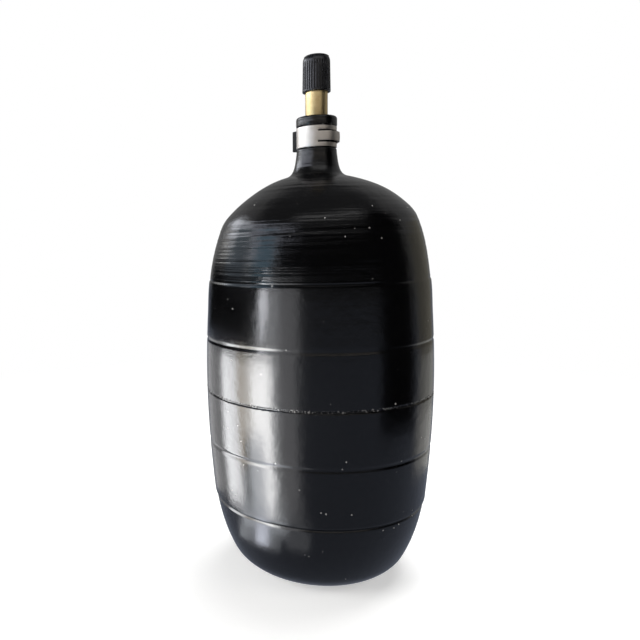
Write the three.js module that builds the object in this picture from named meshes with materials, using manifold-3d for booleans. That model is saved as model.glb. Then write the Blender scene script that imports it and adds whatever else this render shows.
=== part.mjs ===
// Inflatable pipe plug: a thick rubber bag whose neck is clamped round a brass tyre valve.
// Millimetres, +Z up through the valve. The origin is the centre of the flat foot.

import * as THREE from 'three';
import { mergeVertices } from 'three/addons/utils/BufferGeometryUtils.js';
import Module from 'manifold-3d';

const wasm = await Module();
wasm.setup();

// Clearances
const fit = 0.3; // between two pieces that touch on the real plug
const finFit = 0.25; // the same inside the small valve core
const cutMargin = 1; // how far a cutting shape passes the faces it cuts

// Bag: outer form
const bagRadius = 40.25; // at the widest place
const bagMiddle = 70; // height of the widest place
const footBow = 6.26; // gentle inward bow of the side, counted at the foot
const footTuck = 7.41; // late, quick drawing-in, counted at the foot
const footCorner = 7.4; // rounding of the foot's edge
const crownBow = 6.67; // the same bow, counted at the crown's height
const crownTuck = 12.56; // the same drawing-in, counted at the crown's height
const domeCrown = 142.3; // where the dome's ball would cross the axis
const domeFlatness = 3.25; // how much larger that ball's radius is than the bag's
const shoulderRound = 3.2; // height from the shoulder's corner to each end of its rounding

// Bag: wall
const bagWall = 5.5;
const bagFloor = 6.5;
const floorCorner = 9; // rounding between the chamber's floor and its side

// Bag: rings round the side
const topRingDrop = 20.4; // from the shoulder's corner down to the top ring
const footRingHeight = 27; // from the foot up to the lowest ring
const waistStep = 18.7; // from the seam to the ring above it and the ring below it
const topRing = { width: 1.1, depth: 0.3 };
const upperRing = { width: 1.5, depth: 0.55 };
const seamRing = { width: 1.1, depth: 0.35 };
const lowerRing = { width: 2.0, depth: 0.3 };
const footRing = { width: 1.2, depth: 0.45 };
const ledgeRise = 0.35; // how far the bag swells just above the lowest ring
const ledgeFade = 14; // height over which that swelling dies away

// Neck and its lip
const neckRadius = 6.95;
const neckLength = 8.55; // from the crown to the band's lower edge
const flareRadius = 11.2; // where the neck's flare leaves the dome
const flareHeight = 7.2; // top of the flare above the crown
const flareWaist = 0.6; // how far the flare still stands out at a third of its height
const flareToe = 1.1; // how far it stands out where it turns into the dome
const lipRadius = 7.05;
const lipHeight = 3.65; // from the band's upper edge to the lip's top
const lipRound = 1.4;

// Ear clamp: one strip of steel
const bandWidth = 7;
const bandThickness = 0.6;
const bandRadius = 6.95; // outside
const earReach = 3.9; // how far the ear stands out of the band
const earWidth = 5.4; // outside, along the band
const earRound = 1.3;
const earDimple = 0.6; // how far the crimping has pressed in the ear's back
const earTurn = -140.5; // degrees from the front, to the right as seen from the front
const tongueWidth = 3.1; // raised channel over the strip's inner end
const tongueRise = 1.05;
const tongueStart = 4; // degrees from the front
const tongueRamp = 50; // degrees over which the channel rises
const tongueEnd = 112;
const slitWidth = 0.45; // cut along each side of the channel
const slitEnd = 84; // degrees from the front
const hookRadius = 0.55; // round stop at the slits' front ends
const hookLead = 6; // degrees from each slit's front end to its stop

// Valve stem: brass tube
const stemRadius = 3.85;
const stemReveal = 8.4; // bare brass between the lip and the cap
const stemChamfer = 0.45;
const tailDepth = 10.5; // from the band's lower edge to the stem's lower end
const tailLead = 1.4; // plain lead-in below the barbs
const barbPitch = 2.6;
const barbDepth = 0.45;
const barbCount = 4;

// Valve core
const plugRadius = 2.4;
const plugLength = 3.7;
const plugRecess = 1.0; // below the stem's top
const plugFlat = 1.55; // from the axis to each flat cut on the plug's top
const plugFlatDepth = 1.5;
const flangeThickness = 0.7;
const flangeRadius = 2.3;
const barrelNeck = 1.25;
const barrelRadius = 1.7;
const barrelLength = 11.8;
const barrelWall = 0.35;
const barrelSill = 1.2; // inward ledge that carries the spring
const gasketLength = 2.6;
const gasketTop = 2.35;
const gasketEnd = 2.0;
const pinRadius = 0.45;
const pinPlay = 0.1; // extra freedom of the pin in its holes
const pinHeadRadius = 0.8;
const pinHeadLength = 0.9;
const pinTravel = 1.5; // how far the pin can be pressed
const collarRadius = 1.0;
const collarLength = 0.5;
const sealDiscRadius = 1.1;
const sealDiscThickness = 0.6;
const cupWall = 0.25;
const cupFloor = 0.3;
const rivetLength = 0.4;
const springWire = 0.3;
const springTurns = 6;

// Valve cap: moulded plastic
const capRadius = 4.85;
const capLength = 12.9;
const capRoof = 1.2;
const capCorner = 2.3; // rounding of the top edge
const capCrown = 0.5; // rise of the top inside that edge
const capRim = 0.7; // plain ring at the mouth
const fluteCount = 32;
const fluteDepth = 0.3;
const bedding = 0.05; // how far the ribs' plan stands out of the wall that trims them
const fluteTopDrop = 2.6; // from the cap's top down to the flutes' upper ends
const sealThickness = 1.0;
const sealBevel = 0.2;

// Fineness of the round forms
const bagSegments = 60;
const neckSegments = 40;
const coreSegments = 18;

// Sizes and heights that follow from the values above
const domeRadius = bagRadius + domeFlatness;
const domeCentre = domeCrown - domeRadius;
const bandLow = domeCrown + neckLength;
const bandTop = bandLow + bandWidth;
const bandInner = bandRadius - bandThickness;
const lipTop = bandTop + lipHeight;
const boreRadius = stemRadius + fit;
const capMouth = lipTop + stemReveal;
const capTop = capMouth + capLength;
const capCeiling = capTop - capRoof;
const stemTop = capCeiling - sealThickness - fit;
const stemBottom = bandLow - tailDepth;
const plugTop = stemTop - plugRecess;
const plugBottom = plugTop - plugLength;
const barrelTop = plugBottom - fit;
const flangeBottom = barrelTop - flangeThickness;
const barrelBottom = barrelTop - barrelLength;
const gasketHigh = flangeBottom - finFit;
const gasketLow = gasketHigh - gasketLength;
const chamberTop = gasketLow - fit;
const sillTop = barrelBottom + barrelSill;
const pinHole = pinRadius + finFit + pinPlay;
const headLow = stemTop - fit - pinHeadLength;
const collarTop = chamberTop - 2 * finFit;
const springHigh = collarTop - collarLength - finFit;
const springLow = sillTop + finFit;
const sealDiscTop = barrelBottom - fit;
const sealDiscLow = sealDiscTop - sealDiscThickness;
const cupFloorTop = sealDiscLow - finFit;
const cupBottom = cupFloorTop - cupFloor;
const rivetTop = cupBottom - finFit;

const material = (name, colour, roughness, metalness) =>
  new THREE.MeshStandardMaterial({ name, color: colour, roughness, metalness });
const bagRubber = material('bag_rubber', 0x17171a, 0.38, 0);
const steel = material('clamp_steel', 0xc4c0b8, 0.28, 1);
const brass = material('brass', 0xbfa05a, 0.34, 1);
const capPlastic = material('cap_plastic', 0x1b1c22, 0.42, 0);
const sealRubber = material('seal_rubber', 0x242424, 0.7, 0);
const gasketPlastic = material('gasket_plastic', 0xb8463a, 0.55, 0);
const springSteel = material('spring_steel', 0x9a9a98, 0.3, 1);

const plug = new THREE.Group();

// Adds one sub-part to the plug.
function add(name, geometry, finish) {
  const mesh = new THREE.Mesh(geometry, finish);
  mesh.name = name;
  plug.add(mesh);
  return mesh;
}

// Turns a list of [radius, height] points about the Z axis.
function turned(outline, segments) {
  const points = outline.map(([radius, height]) => new THREE.Vector2(radius, height));
  return new THREE.LatheGeometry(points, segments).rotateX(Math.PI / 2);
}

// Turns an outline that closes on itself, for pieces with a hole along the axis.
function turnedRing(outline, segments) {
  return turned([...outline, outline[0]], segments);
}

// Rounds a corner between two points with a quarter-like arc bulging towards the corner.
function rounded(from, corner, to, steps) {
  const curve = new THREE.QuadraticBezierCurve(
    new THREE.Vector2(...from), new THREE.Vector2(...corner), new THREE.Vector2(...to));
  return curve.getPoints(steps).map((point) => [point.x, point.y]);
}

// Makes a solid for cutting and joining out of a closed geometry.
function solid(geometry) {
  const bare = geometry.clone();
  bare.deleteAttribute('normal');
  bare.deleteAttribute('uv');
  const merged = mergeVertices(bare, 1e-4);
  const index = [];
  for (let i = 0; i < merged.index.count; i += 3) {
    const [a, b, c] = [0, 1, 2].map((k) => merged.index.getX(i + k));
    if (a !== b && b !== c && c !== a) index.push(a, b, c);
  }
  return new wasm.Manifold(new wasm.Mesh({
    numProp: 3,
    vertProperties: new Float32Array(merged.attributes.position.array),
    triVerts: new Uint32Array(index),
  }));
}

// Gives a cut or joined solid back as a geometry.
function geometryOf(body) {
  const mesh = body.getMesh();
  const geometry = new THREE.BufferGeometry();
  geometry.setAttribute('position', new THREE.BufferAttribute(mesh.vertProperties, 3));
  geometry.setIndex(new THREE.BufferAttribute(mesh.triVerts, 1));
  geometry.computeVertexNormals();
  return geometry;
}

// Radius of the bag's side at a height, with the swelling above the lowest ring.
function sideRadius(z) {
  const low = z < bagMiddle;
  const t = low ? (bagMiddle - z) / bagMiddle : (z - bagMiddle) / (domeCrown - bagMiddle);
  const bow = (low ? footBow : crownBow) * t ** 2;
  const tuck = (low ? footTuck : crownTuck) * t ** 6;
  const fade = 1 - (z - footRingHeight) / ledgeFade;
  const swell = fade > 0 && fade < 1 ? ledgeRise * fade ** 2 : 0;
  return bagRadius - bow - tuck + swell;
}

// Height of the dome at a radius, for a surface lying inset inside the outer one.
function domeHeight(radius, inset) {
  return domeCentre + Math.sqrt((domeRadius - inset) ** 2 - radius ** 2);
}

// Height at which the side meets the dome, both inset by the same amount.
function shoulderHeight(inset) {
  let low = bagMiddle;
  let high = domeCrown - inset;
  for (let i = 0; i < 40; i += 1) {
    const z = (low + high) / 2;
    const ball = Math.sqrt((domeRadius - inset) ** 2 - (z - domeCentre) ** 2);
    if (ball > sideRadius(z) - inset) low = z;
    else high = z;
  }
  return low;
}

// Outline of the foot's rounded edge, from the flat foot up to the side.
function footOutline(steps) {
  const points = [];
  for (let i = 0; i <= steps; i += 1) {
    const angle = (i / steps) * (Math.PI / 2);
    const z = footCorner * (1 - Math.cos(angle));
    points.push([sideRadius(z) - footCorner * (1 - Math.sin(angle)), z]);
  }
  return points;
}

// Outline of the side between two heights, both ends left out.
function sideOutline(from, to, steps, inset) {
  const points = [];
  for (let i = 1; i < steps; i += 1) {
    const z = THREE.MathUtils.lerp(from, to, i / steps);
    points.push([sideRadius(z) - inset, z]);
  }
  return points;
}

// The three points of a ring pressed into the side.
function ringOutline({ height, width, depth }) {
  return [-0.5, 0, 0.5].map((share) => {
    const z = height + share * width;
    return [sideRadius(z) - (share === 0 ? depth : 0), z];
  });
}

// Outline of the dome between two radii, going inwards.
function domeOutline(from, to, steps, inset) {
  const points = [];
  for (let i = 0; i <= steps; i += 1) {
    const radius = THREE.MathUtils.lerp(from, to, i / steps);
    points.push([radius, domeHeight(radius, inset)]);
  }
  return points;
}

// The bag: foot, side with its rings, shoulder, dome, neck, lip, bore and air chamber.
function bag() {
  const shoulder = shoulderHeight(0);
  const topHeight = shoulder - topRingDrop;
  const seamHeight = (topHeight + footRingHeight) / 2;
  const rings = [
    { ...footRing, height: footRingHeight },
    { ...lowerRing, height: seamHeight - waistStep },
    { ...seamRing, height: seamHeight },
    { ...upperRing, height: seamHeight + waistStep },
    { ...topRing, height: topHeight },
  ];
  const outline = [[0, 0], ...footOutline(5)];
  let reached = footCorner;
  for (const ring of rings) {
    outline.push(...sideOutline(reached, ring.height - ring.width / 2, 3, 0), ...ringOutline(ring));
    reached = ring.height + ring.width / 2;
  }
  const roundLow = shoulder - shoulderRound;
  outline.push(...sideOutline(reached, roundLow, 3, 0));
  const cornerRadius = sideRadius(shoulder);
  const domeStart = cornerRadius - shoulderRound;
  outline.push(...rounded([sideRadius(roundLow), roundLow], [cornerRadius, shoulder],
    [domeStart, domeHeight(domeStart, 0)], 4));
  outline.push(...domeOutline(domeStart, flareRadius, 5, 0).slice(1, -1));
  const flare = new THREE.CubicBezierCurve(
    new THREE.Vector2(flareRadius, domeHeight(flareRadius, 0)),
    new THREE.Vector2(neckRadius + flareToe, domeHeight(neckRadius + flareToe, 0)),
    new THREE.Vector2(neckRadius + flareWaist, domeCrown + flareHeight / 4),
    new THREE.Vector2(neckRadius, domeCrown + flareHeight));
  outline.push(...flare.getPoints(6).map((point) => [point.x, point.y]));
  const seat = bandInner - fit;
  outline.push([neckRadius, bandLow - fit], [seat, bandLow - fit]);
  outline.push([seat, bandTop + fit], [lipRadius, bandTop + fit]);
  outline.push(...rounded([lipRadius, lipTop - lipRound], [lipRadius, lipTop],
    [lipRadius - lipRound, lipTop], 3));
  outline.push([boreRadius, lipTop], [boreRadius, domeHeight(boreRadius, bagWall)]);
  const innerShoulder = shoulderHeight(bagWall);
  const innerCorner = sideRadius(innerShoulder) - bagWall;
  outline.push(...domeOutline(boreRadius, innerCorner, 4, bagWall).slice(1));
  outline.push(...sideOutline(innerShoulder, bagFloor + floorCorner, 6, bagWall));
  const floorEdge = sideRadius(bagFloor) - bagWall;
  outline.push(...rounded([sideRadius(bagFloor + floorCorner) - bagWall, bagFloor + floorCorner],
    [floorEdge, bagFloor], [floorEdge - floorCorner, bagFloor], 3));
  outline.push([0, bagFloor]);
  return turned(outline, bagSegments);
}

// A point at a radius and at an angle in degrees from the front, to the right seen from there.
function around(radius, degrees) {
  const angle = THREE.MathUtils.degToRad(degrees);
  return [radius * Math.sin(angle), -radius * Math.cos(angle)];
}

// Plan of a strip of arc between two radii that may change along it.
function arcStrip(inner, outer, from, to, steps) {
  const edge = (radiusAt, first, last) => Array.from({ length: steps + 1 }, (_, i) => {
    const degrees = THREE.MathUtils.lerp(first, last, i / steps);
    return new THREE.Vector2(...around(radiusAt(degrees), degrees));
  });
  return new THREE.Shape([...edge(outer, from, to), ...edge(inner, to, from)]);
}

// A solid raised straight up from a plan, its middle at the band's middle.
function raised(shape, height) {
  const geometry = new THREE.ExtrudeGeometry(shape, { depth: height, bevelEnabled: false });
  return solid(geometry.translate(0, 0, (bandLow + bandTop - height) / 2));
}

// Plan of the ear, inset from its outside, in line with the X axis.
function earPlan(inset, root) {
  const half = earWidth / 2 - inset;
  const reach = bandRadius + earReach - inset;
  const shape = new THREE.Shape();
  shape.moveTo(root, -half);
  shape.lineTo(reach - earRound, -half);
  shape.quadraticCurveTo(reach, -half, reach, -half + earRound);
  shape.quadraticCurveTo(reach - earDimple, 0, reach, half - earRound);
  shape.quadraticCurveTo(reach, half, reach - earRound, half);
  shape.lineTo(root, half);
  shape.closePath();
  return shape;
}

// The ear clamp: band, crimped ear, raised channel with its two slits and their hooks.
function clamp() {
  const ring = arcStripRing(bandInner, bandRadius);
  const earRoot = bandInner - cutMargin;
  const turnEar = THREE.MathUtils.degToRad(earTurn - 90);
  const ear = (inset, height) => {
    const geometry = new THREE.ExtrudeGeometry(earPlan(inset, earRoot),
      { depth: height, bevelEnabled: false, curveSegments: 4 });
    return solid(geometry.rotateZ(turnEar).translate(0, 0, (bandLow + bandTop - height) / 2));
  };
  const neckSpace = solid(turned([
    [0, bandLow - cutMargin], [bandInner, bandLow - cutMargin],
    [bandInner, bandTop + cutMargin], [0, bandTop + cutMargin],
  ], neckSegments));
  const rise = (degrees) => {
    const share = THREE.MathUtils.smoothstep(degrees, tongueStart, tongueStart + tongueRamp);
    return bandRadius + tongueRise * share;
  };
  const channel = raised(arcStrip(() => bandRadius - bandThickness / 2, rise,
    tongueStart, tongueEnd, 14), tongueWidth);
  let body = ring.add(ear(0, bandWidth)).subtract(ear(bandThickness, bandWidth + 2 * cutMargin));
  body = body.subtract(neckSpace).add(channel);
  for (const side of [-1, 1]) {
    const slit = arcStrip(() => bandInner - cutMargin,
      () => bandRadius + tongueRise + cutMargin, tongueStart, slitEnd, 12);
    const offset = side * (tongueWidth + slitWidth) / 2;
    body = body.subtract(raised(slit, slitWidth).translate([0, 0, offset]));
    const hook = new THREE.CylinderGeometry(hookRadius, hookRadius,
      2 * (bandThickness + cutMargin), 10)
      .translate(0, -bandRadius, offset + (bandLow + bandTop) / 2)
      .rotateZ(THREE.MathUtils.degToRad(tongueStart - hookLead));
    body = body.subtract(solid(hook));
  }
  return geometryOf(body);
}

// A plain ring of the band's width.
function arcStripRing(inner, outer) {
  return solid(turnedRing([[inner, bandLow], [outer, bandLow], [outer, bandTop], [inner, bandTop]],
    neckSegments));
}

// The valve stem: barbed tail, smooth shank, core seat and bore.
function stem() {
  const root = stemRadius - barbDepth;
  const boreLow = barrelRadius + fit;
  const outline = [[boreLow, stemBottom], [root - stemChamfer, stemBottom], [root, stemBottom + tailLead]];
  for (let i = 0; i < barbCount; i += 1) {
    const crest = stemBottom + tailLead + (i + 1) * barbPitch;
    outline.push([stemRadius, crest], [root, crest]);
  }
  const shank = stemBottom + tailLead + barbCount * barbPitch + 2 * barbDepth;
  outline.push([stemRadius, shank], [stemRadius, stemTop - stemChamfer]);
  outline.push([stemRadius - stemChamfer, stemTop], [plugRadius + fit, stemTop]);
  outline.push([plugRadius + fit, gasketHigh], [gasketEnd + fit, gasketLow]);
  outline.push([boreLow, gasketLow]);
  return turnedRing(outline, neckSegments);
}

// The core's plug: a short threaded sleeve with two flats for its key.
function corePlug() {
  const headSpace = pinHeadRadius + fit;
  const headFloor = headLow - pinTravel - fit;
  const sleeve = solid(turnedRing([
    [pinHole, plugBottom], [plugRadius, plugBottom], [plugRadius, plugTop],
    [headSpace, plugTop], [headSpace, headFloor], [pinHole, headFloor],
  ], coreSegments));
  const side = 2 * plugRadius;
  let body = sleeve;
  for (const direction of [-1, 1]) {
    const block = new THREE.BoxGeometry(side, side * 2, plugFlatDepth * 2);
    block.translate(direction * (plugFlat + side / 2), 0, plugTop);
    body = body.subtract(solid(block));
  }
  return geometryOf(body);
}

// The core's barrel: flange, slim neck inside the gasket, spring chamber and sill.
function coreBarrel() {
  const chamber = barrelRadius - barrelWall;
  return turnedRing([
    [pinHole, barrelBottom], [barrelRadius, barrelBottom], [barrelRadius, chamberTop],
    [barrelNeck, chamberTop], [barrelNeck, flangeBottom], [flangeRadius, flangeBottom],
    [flangeRadius, barrelTop], [pinHole, barrelTop], [pinHole, chamberTop - finFit],
    [chamber, chamberTop - finFit], [chamber, sillTop], [pinHole, sillTop],
  ], coreSegments);
}

// The tapered gasket that seals the barrel in the stem.
function coreGasket() {
  const bore = barrelNeck + fit;
  return turnedRing([
    [bore, gasketLow], [gasketEnd, gasketLow], [gasketTop, gasketHigh], [bore, gasketHigh],
  ], coreSegments);
}

// The pin: head, collar under which the spring pushes, and riveted lower end.
function corePin() {
  const headHigh = headLow + pinHeadLength;
  const rivetLow = rivetTop - rivetLength;
  return turned([
    [0, rivetLow], [pinHeadRadius, rivetLow], [pinHeadRadius, rivetTop], [pinRadius, rivetTop],
    [pinRadius, collarTop - collarLength], [collarRadius, collarTop - collarLength],
    [collarRadius, collarTop], [pinRadius, collarTop], [pinRadius, headLow],
    [pinHeadRadius, headLow], [pinHeadRadius, headHigh - pinHeadLength / 3],
    [pinHeadRadius / 2, headHigh], [0, headHigh],
  ], coreSegments);
}

// The cup that carries the sealing disc.
function coreCup() {
  const inner = sealDiscRadius + finFit;
  const outer = inner + cupWall;
  const rim = sealDiscTop - finFit;
  return turnedRing([
    [pinHole, cupBottom], [outer, cupBottom], [outer, rim], [inner, rim],
    [inner, cupFloorTop], [pinHole, cupFloorTop],
  ], coreSegments);
}

// The rubber disc that closes the barrel.
function coreSeal() {
  return turnedRing([
    [pinHole, sealDiscLow], [sealDiscRadius, sealDiscLow],
    [sealDiscRadius, sealDiscTop], [pinHole, sealDiscTop],
  ], coreSegments);
}

// The centre line of the return spring.
class SpringLine extends THREE.Curve {
  getPoint(share, target = new THREE.Vector3()) {
    const angle = share * springTurns * 2 * Math.PI;
    const radius = barrelRadius - barrelWall - finFit - springWire / 2;
    const low = springLow + springWire / 2;
    const high = springHigh - springWire / 2;
    return target.set(radius * Math.cos(angle), radius * Math.sin(angle),
      THREE.MathUtils.lerp(low, high, share));
  }
}

// The return spring.
function coreSpring() {
  const wire = new THREE.Shape().absarc(0, 0, springWire / 2, 0, 2 * Math.PI);
  return new THREE.ExtrudeGeometry(wire,
    { steps: springTurns * 10, curveSegments: 3, extrudePath: new SpringLine() });
}

// Outer envelope of the cap, drawn in by an inset.
function capEnvelope(inset, low) {
  const radius = capRadius - inset;
  const edge = capTop - capCrown;
  return [
    [0, low], [radius, low], ...rounded([radius, edge - capCorner], [radius, edge],
      [radius - capCorner, edge], 5), ...rounded([radius - capCorner, edge],
      [(radius - capCorner) / 2, capTop - inset], [0, capTop - inset], 2).slice(1),
  ];
}

// Plan of the cap's fluted wall.
function flutePlan() {
  const shape = new THREE.Shape();
  const pitch = 360 / fluteCount;
  const outer = capRadius + bedding;
  const steps = [[0, 0], [0.3, 0], [0.5, 1], [0.8, 1]];
  for (let i = 0; i < fluteCount; i += 1) {
    for (const [share, depth] of steps) {
      const [x, y] = around(outer - depth * fluteDepth, (i + share) * pitch);
      if (i === 0 && share === 0) shape.moveTo(x, y);
      else shape.lineTo(x, y);
    }
  }
  shape.closePath();
  return shape;
}

// The cap: domed top, fluted wall, plain rim and threaded bore.
function cap() {
  const fluteTop = capTop - fluteTopDrop;
  const fluteLow = capMouth + capRim;
  const envelope = solid(turned(capEnvelope(0, capMouth), neckSegments));
  const fluted = solid(new THREE.ExtrudeGeometry(flutePlan(),
    { depth: fluteTop - fluteLow, bevelEnabled: false }).translate(0, 0, fluteLow));
  const sleeve = solid(turnedRing([
    [capRadius - 2 * fluteDepth, fluteLow], [capRadius + cutMargin, fluteLow],
    [capRadius + cutMargin, fluteTop], [capRadius - 2 * fluteDepth, fluteTop],
  ], neckSegments));
  const bore = solid(turned([
    [0, capMouth - cutMargin], [boreRadius + stemChamfer, capMouth - cutMargin],
    [boreRadius, capMouth + stemChamfer / 2], [boreRadius, capCeiling], [0, capCeiling],
  ], neckSegments));
  return geometryOf(envelope.subtract(sleeve.subtract(fluted)).subtract(bore));
}

// The sealing washer inside the cap.
function capSeal() {
  const low = capCeiling - sealThickness;
  return turned([
    [0, low], [stemRadius - sealBevel, low], [stemRadius, low + sealBevel],
    [stemRadius, capCeiling - sealBevel], [stemRadius - sealBevel, capCeiling], [0, capCeiling],
  ], neckSegments);
}

add('bladder', bag(), bagRubber);
add('clamp_band', clamp(), steel);
add('valve_stem', stem(), brass);
add('core_plug', corePlug(), brass);
add('core_barrel', coreBarrel(), brass);
add('core_gasket', coreGasket(), gasketPlastic);
add('core_pin', corePin(), brass);
add('core_cup', coreCup(), brass);
add('core_seal', coreSeal(), sealRubber);
add('core_spring', coreSpring(), springSteel);
add('valve_cap', cap(), capPlastic);
add('cap_seal', capSeal(), sealRubber);

export default plug;
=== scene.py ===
"""Looks of the inflatable pipe plug: rubber bag, ear clamp, brass valve and fluted cap, in a pale studio."""

import logging
import math
from dataclasses import dataclass
from enum import Enum
from typing import Callable, Optional, Sequence

import bpy
import numpy as np
from mathutils import Matrix, Vector


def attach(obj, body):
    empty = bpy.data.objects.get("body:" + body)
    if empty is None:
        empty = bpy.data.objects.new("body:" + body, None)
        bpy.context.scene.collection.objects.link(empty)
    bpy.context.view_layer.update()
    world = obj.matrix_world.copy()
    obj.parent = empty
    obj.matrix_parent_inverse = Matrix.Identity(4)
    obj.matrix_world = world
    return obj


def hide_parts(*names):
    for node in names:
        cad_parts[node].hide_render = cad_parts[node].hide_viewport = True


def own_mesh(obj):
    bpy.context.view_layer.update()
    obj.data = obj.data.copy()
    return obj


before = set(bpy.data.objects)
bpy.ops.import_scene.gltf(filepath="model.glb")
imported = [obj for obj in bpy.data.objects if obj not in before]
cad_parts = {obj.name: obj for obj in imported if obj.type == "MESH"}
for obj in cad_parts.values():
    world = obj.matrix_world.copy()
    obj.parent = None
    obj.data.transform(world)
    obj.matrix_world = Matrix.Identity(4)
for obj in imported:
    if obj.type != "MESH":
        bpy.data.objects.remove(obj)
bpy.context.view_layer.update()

logging.basicConfig(level=logging.INFO, format="%(message)s")
LOG = logging.getLogger("pipe_plug")

MM = 0.001
Colour = tuple[float, float, float]
Array = np.ndarray
Outline = Array
Node = bpy.types.Node
Socket = bpy.types.NodeSocket
Field = Callable[[Array, Array, Array], Array]


class Body(str, Enum):
    """Moving bodies of the plug, as the record names them."""

    PLUG = "plug"
    PIN = "valve_pin"
    CARRIER = "cap_carrier"
    CAP = "cap"


class Slot(str, Enum):
    """Material slots of the plug, as the record names them."""

    RUBBER = "bag_rubber"
    STEEL = "clamp_steel"
    BRASS = "brass"
    GASKET = "gasket_plastic"
    SEAL = "seal_rubber"
    SPRING = "spring_steel"
    CAP = "cap_plastic"


class Side(Enum):
    """Which way the faces of a grid look."""

    OUT = 1
    IN = -1


def smooth(value: Array, low: float, high: float) -> Array:
    """Rises smoothly from 0 at low to 1 at high."""
    share = np.clip((value - low) / (high - low), 0.0, 1.0)
    return share * share * (3.0 - 2.0 * share)


def heights(low: float, high: float, step: float, fine: Sequence[tuple[float, float, float]]) -> Array:
    """Spreads heights over a span, closer together where the form is fine.

    Args:
        low: Lowest height.
        high: Highest height.
        step: Coarse spacing.
        fine: (centre, half width, spacing) of each fine zone.

    Returns:
        The heights in rising order, both ends included.
    """
    parts = [np.linspace(low, high, max(2, int(round((high - low) / step)) + 1))]
    for centre, half, spacing in fine:
        count = int(round(2 * half / spacing)) + 1
        zone = np.linspace(centre - half, centre + half, count)
        parts = [part[np.abs(part - centre) > half + spacing / 2] for part in parts]
        parts.append(zone)
    merged = np.sort(np.concatenate(parts + [np.array([low, high])]))
    merged = merged[(merged >= low) & (merged <= high)]
    keep = np.concatenate([[True], np.diff(merged) > 1e-4])
    return merged[keep]


def bezier(points: Sequence[Sequence[float]], steps: int) -> Outline:
    """Samples a Bezier curve of any order.

    Args:
        points: Its control points.
        steps: Number of spans.

    Returns:
        steps + 1 points from the first control point to the last.
    """
    control = np.array(points, float)
    share = np.linspace(0.0, 1.0, steps + 1)[:, None]
    order = len(control) - 1
    total = np.zeros((steps + 1, control.shape[1]))
    for i, point in enumerate(control):
        total += math.comb(order, i) * share**i * (1 - share) ** (order - i) * point
    return total


def turned(angle: Array, radius: Array | float, level: Array) -> Array:
    """Places points about the axis.

    Args:
        angle: Angles from the front, positive to the right, in radians.
        radius: Distances from the axis.
        level: Heights.

    Returns:
        The points, with X, Y and Z along the last axis.
    """
    parts = np.broadcast_arrays(radius * np.sin(angle), -radius * np.cos(angle), level)
    return np.stack(parts, axis=-1)


class Waviness:
    """A repeatable, gentle unevenness over angle and height."""

    def __init__(self, seed: int, waves: int, turns: int, rise: float) -> None:
        """Draws the waves.

        Args:
            seed: Start of the random draw.
            waves: Number of waves laid over each other.
            turns: Most crests that a wave has round the object.
            rise: Shortest wavelength along the height, in mm.
        """
        draw = np.random.default_rng(seed)
        self.around = draw.integers(-turns, turns + 1, waves)
        self.along = draw.uniform(-1.0, 1.0, waves) * 2 * math.pi / rise
        self.phase = draw.uniform(0, 2 * math.pi, waves)
        self.weight = draw.uniform(0.4, 1.0, waves) / math.sqrt(waves)

    def __call__(self, angle: Array, height: Array) -> Array:
        """Gives the unevenness, about -1 to 1, at each angle and height."""
        total = np.zeros(np.broadcast(angle, height).shape)
        for turns, rate, phase, weight in zip(self.around, self.along, self.phase, self.weight):
            total += weight * np.sin(turns * angle + rate * height + phase)
        return total


class Draft:
    """Collects the vertices and faces of one piece, in millimetres."""

    def __init__(self) -> None:
        """Starts empty."""
        self.points: list[Array] = []
        self.faces: list[Array] = []
        self.count = 0

    def add(self, points: Array, faces: Array) -> None:
        """Adds vertices and the faces that use them."""
        self.faces.append(faces + self.count)
        self.points.append(points)
        self.count += len(points)

    def grid(self, points: Array, side: Side = Side.OUT, closed: bool = True,
             keep: Optional[Array] = None) -> None:
        """Adds a grid of quads.

        Args:
            points: Array of rows by columns by 3.
            side: Which way the faces look.
            closed: Whether the last column joins the first.
            keep: Which faces stay, as an array of rows - 1 by columns, or None for all.
        """
        rows, columns = points.shape[:2]
        last = columns if closed else columns - 1
        row, column = np.meshgrid(np.arange(rows - 1), np.arange(last), indexing="ij")
        following = (column + 1) % columns
        quads = np.stack([row * columns + column, row * columns + following,
                          (row + 1) * columns + following, (row + 1) * columns + column], axis=-1)
        if side is Side.IN:
            quads = quads[..., ::-1]
        if keep is not None:
            quads = quads[keep[:, :last]]
        self.add(points.reshape(-1, 3), quads.reshape(-1, 4))

    def lathe(self, outline: Outline, segments: int, shift: Optional[Field] = None,
              lift: Optional[Field] = None) -> None:
        """Turns an outline of radius and height about the axis.

        Args:
            outline: Points as rows of radius and height.
            segments: Number of columns round the axis.
            shift: Gives the radial shift for arrays of angle, radius and height.
            lift: Gives the upward shift for the same arrays.
        """
        angle = np.linspace(0, 2 * math.pi, segments, endpoint=False)[None, :]
        radius = np.repeat(outline[:, :1], segments, axis=1)
        height = np.repeat(outline[:, 1:2], segments, axis=1)
        reach = radius + (shift(angle, radius, height) if shift else 0.0)
        level = height + (lift(angle, radius, height) if lift else 0.0)
        self.grid(turned(angle, reach, level))

    def build(self, name: str, crease: float = 35.0) -> bpy.types.Object:
        """Makes the piece, welded and smooth-shaded.

        Args:
            name: Name of the new piece.
            crease: Faces that meet at a sharper angle, in degrees, keep a hard edge.

        Returns:
            The new mesh object, linked to the scene.
        """
        mesh = bpy.data.meshes.new(name)
        points = np.concatenate(self.points) * MM
        mesh.from_pydata(points.tolist(), [], np.concatenate(self.faces).tolist())
        piece = bpy.data.objects.new(name, mesh)
        bpy.context.scene.collection.objects.link(piece)
        weld = piece.modifiers.new("weld", "WELD")
        weld.merge_threshold = 0.002 * MM
        depsgraph = bpy.context.evaluated_depsgraph_get()
        piece.data = bpy.data.meshes.new_from_object(piece.evaluated_get(depsgraph))
        piece.modifiers.clear()
        bpy.data.meshes.remove(mesh)
        piece.data.name = name
        piece.data.shade_smooth()
        piece.data.set_sharp_from_angle(angle=math.radians(crease))
        return piece


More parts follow.
